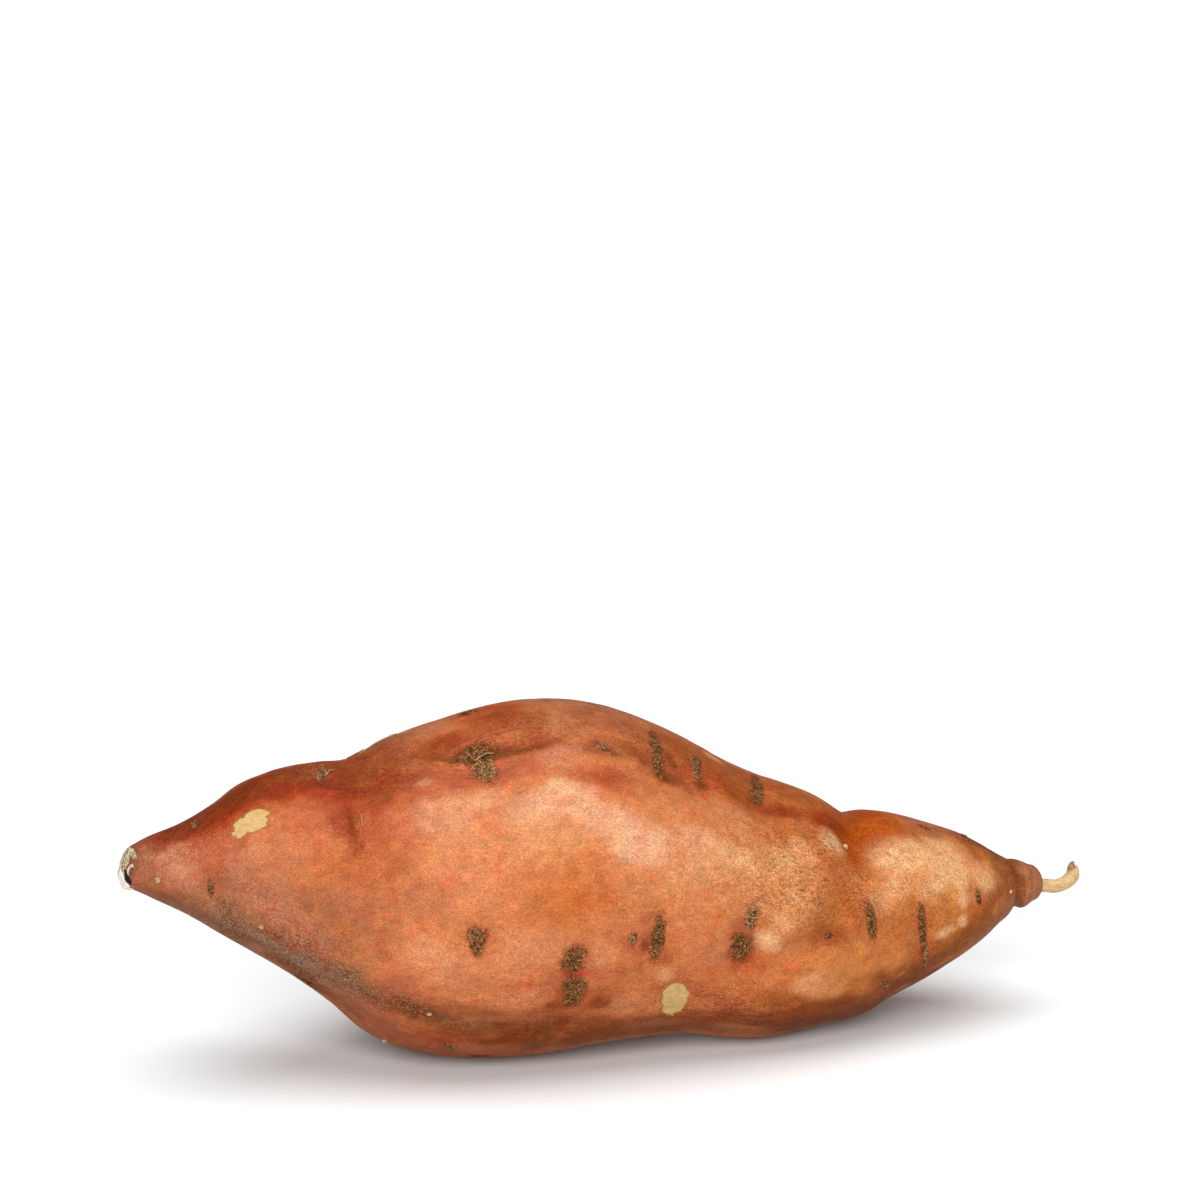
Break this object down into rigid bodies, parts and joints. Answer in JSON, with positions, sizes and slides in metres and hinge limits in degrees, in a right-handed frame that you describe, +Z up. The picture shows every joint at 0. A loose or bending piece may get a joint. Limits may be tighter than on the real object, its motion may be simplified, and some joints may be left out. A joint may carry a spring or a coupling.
{
  "type": "sweet potato",
  "caption": "Whole sweet potato root, tapering to a ringed neck with a short tail root, marked with corky side-root scars; lies on its side.",
  "frame": {"origin": "on the surface that the root lies on, under the middle of its bounding box", "axes": "+Z up as the root lies; +X along the root from the broken stem end to the tail root; +Y away from the side that shows in the picture"},
  "size_m": [0.2135, 0.074, 0.0745],
  "materials": {
    "skin": "thin red-orange root skin, softly satin, with fine lengthwise fibres and rubbed pale patches",
    "scar_cork": "dry crumbly olive-brown cork, matte and grainy",
    "tail_root": "dried cream to tan root fibre, matte, streaked lengthwise",
    "stem_end": "dried beige stem tissue with black specks, matte"
  },
  "bodies": {
    "root": {"sweet_potato": "skin"}
  },
  "joints": []
}
